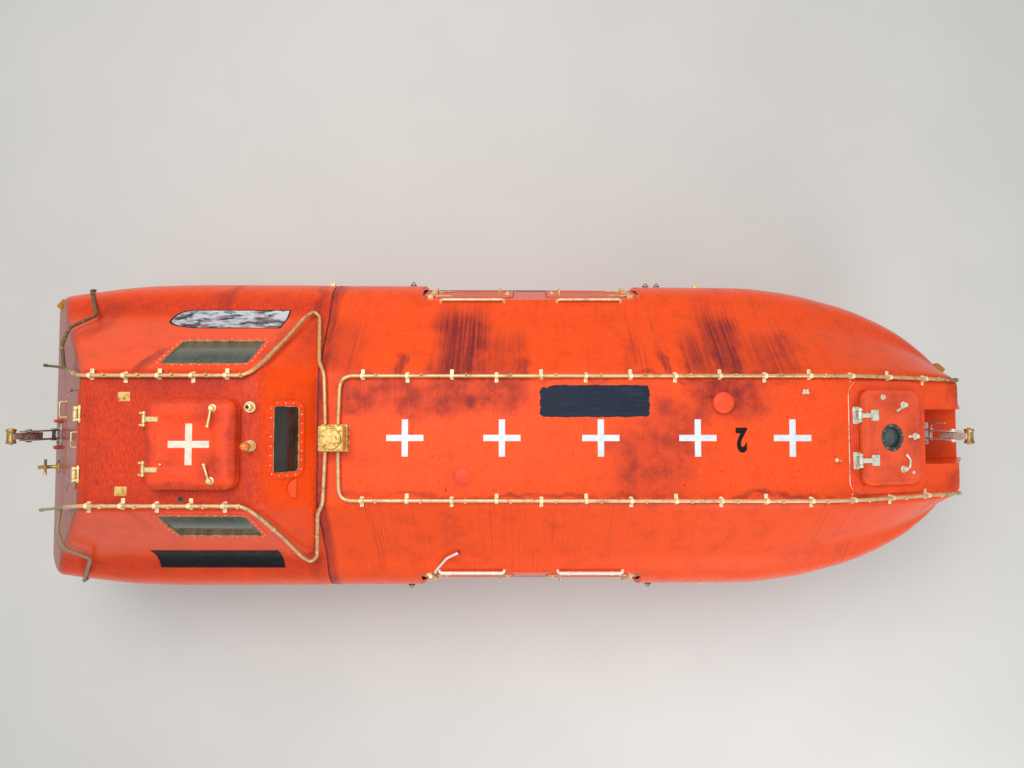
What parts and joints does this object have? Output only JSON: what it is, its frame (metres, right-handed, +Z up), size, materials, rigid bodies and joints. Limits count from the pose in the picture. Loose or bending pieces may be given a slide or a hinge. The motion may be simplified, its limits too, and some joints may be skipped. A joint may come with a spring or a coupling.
{
  "type": "totally enclosed lifeboat",
  "caption": "Enclosed glass-fibre lifeboat with raised wheelhouse, deluge pipes, side doors, hatches, lifting hooks, propeller and rudder.",
  "frame": {"origin": "middle of the boat's length at the keel shoe's flat underside, on the centreline", "axes": "+X towards the bow, +Y to port, +Z up"},
  "size_m": [9.33, 3.026, 3.374],
  "materials": {
    "orange_grp": "weathered orange gelcoat",
    "faded_grp": "chalked, faded orange gelcoat",
    "white_grp": "off-white inner moulding",
    "brass": "tarnished brass and copper-nickel",
    "steel": "stained stainless steel",
    "painted_rail": "scuffed off-white paint",
    "rubber": "aged black rubber",
    "window_glass": "dirty dark window",
    "engine_iron": "painted casting",
    "lamp_orange": "moulded lamp"
  },
  "bodies": {
    "boat": {"hull": "orange_grp", "keel": "orange_grp", "keel_shoe": "steel", "bilge_runner_port": "orange_grp", "bilge_runner_starboard": "orange_grp", "gunwale_fender": "rubber", "canopy": "orange_grp", "wheelhouse": "orange_grp", "cabin_liner": "white_grp", "engine_block": "engine_iron", "engine_casing": "white_grp", "helm_seat": "rubber", "helm_console": "white_grp", "window_port": "window_glass", "window_starboard": "window_glass", "window_front": "window_glass", "roof_hatch_coaming": "orange_grp", "bow_hatch_frame": "orange_grp", "grab_rail_port_aft": "painted_rail", "grab_rail_port_fore": "painted_rail", "grab_rail_starboard_aft": "painted_rail", "grab_rail_starboard_fore": "painted_rail", "deluge_feed_box": "brass", "deluge_pipe_canopy_port": "brass", "deluge_pipe_canopy_starboard": "brass", "deluge_pipe_wheelhouse_port": "brass", "deluge_pipe_wheelhouse_starboard": "brass", "deck_vent": "faded_grp", "deck_cap": "faded_grp", "position_lamp": "lamp_orange", "roof_vent": "brass", "fore_hook_cheeks": "steel", "aft_hook_cheeks": "steel", "aft_bollard": "brass", "stern_tube": "steel"},
    "roof_lid": {"roof_hatch_lid": "faded_grp"},
    "bow_lid": {"bow_hatch_lid": "faded_grp", "bow_hatch_scuttle": "window_glass"},
    "stern_door": {"aft_door": "orange_grp"},
    "door_port_aft": {"side_door_port_aft": "orange_grp"},
    "door_port_fore": {"side_door_port_fore": "orange_grp"},
    "door_starboard_aft": {"side_door_starboard_aft": "orange_grp"},
    "door_starboard_fore": {"side_door_starboard_fore": "orange_grp"},
    "hook_fore": {"fore_hook": "brass"},
    "hook_aft": {"aft_hook": "brass"},
    "screw": {"propeller": "brass"},
    "rudder_blade": {"rudder": "steel"}
  },
  "joints": [
    {"name": "roof_lid_hinge", "type": "hinge", "parent": "boat", "child": "roof_lid", "pos_m": [-2.836, -0.025, 3.26], "axis": [0, -1, 0], "range_deg": [0, 100]},
    {"name": "bow_lid_hinge", "type": "hinge", "parent": "boat", "child": "bow_lid", "pos_m": [2.89113, 0, 2.75328], "axis": [0, -1, 0], "range_deg": [0, 110]},
    {"name": "stern_door_hinge", "type": "hinge", "parent": "boat", "child": "stern_door", "pos_m": [-3.4258, 0, 3.16836], "axis": [0, 1, 0], "range_deg": [0, 90]},
    {"name": "door_port_aft_hinge", "type": "hinge", "parent": "boat", "child": "door_port_aft", "pos_m": [-0.806, 1.41799, 1.7069], "axis": [0, -0.2873, 0.9578], "range_deg": [0, 90]},
    {"name": "door_port_fore_hinge", "type": "hinge", "parent": "boat", "child": "door_port_fore", "pos_m": [1.101, 1.41799, 1.7069], "axis": [0, 0.2873, -0.9578], "range_deg": [0, 90]},
    {"name": "door_starboard_aft_hinge", "type": "hinge", "parent": "boat", "child": "door_starboard_aft", "pos_m": [-0.806, -1.41799, 1.7069], "axis": [0, -0.2873, -0.9578], "range_deg": [0, 90]},
    {"name": "door_starboard_fore_hinge", "type": "hinge", "parent": "boat", "child": "door_starboard_fore", "pos_m": [1.101, -1.41799, 1.7069], "axis": [0, 0.2873, 0.9578], "range_deg": [0, 90]},
    {"name": "hook_fore_release", "type": "hinge", "parent": "boat", "child": "hook_fore", "pos_m": [4.04, 0, 2.18], "axis": [0, 1, 0], "range_deg": [0, 85]},
    {"name": "hook_aft_release", "type": "hinge", "parent": "boat", "child": "hook_aft", "pos_m": [-4.44, 0, 2.28], "axis": [0, -1, 0], "range_deg": [0, 85]},
    {"name": "propeller_spin", "type": "hinge", "parent": "boat", "child": "screw", "pos_m": [-4.12, 0, 0.33], "axis": [1, 0, 0], "continuous": true},
    {"name": "rudder_turn", "type": "hinge", "parent": "boat", "child": "rudder_blade", "pos_m": [-4.43, 0, 0.3], "axis": [0, 0, 1], "range_deg": [-35, 35]}
  ]
}
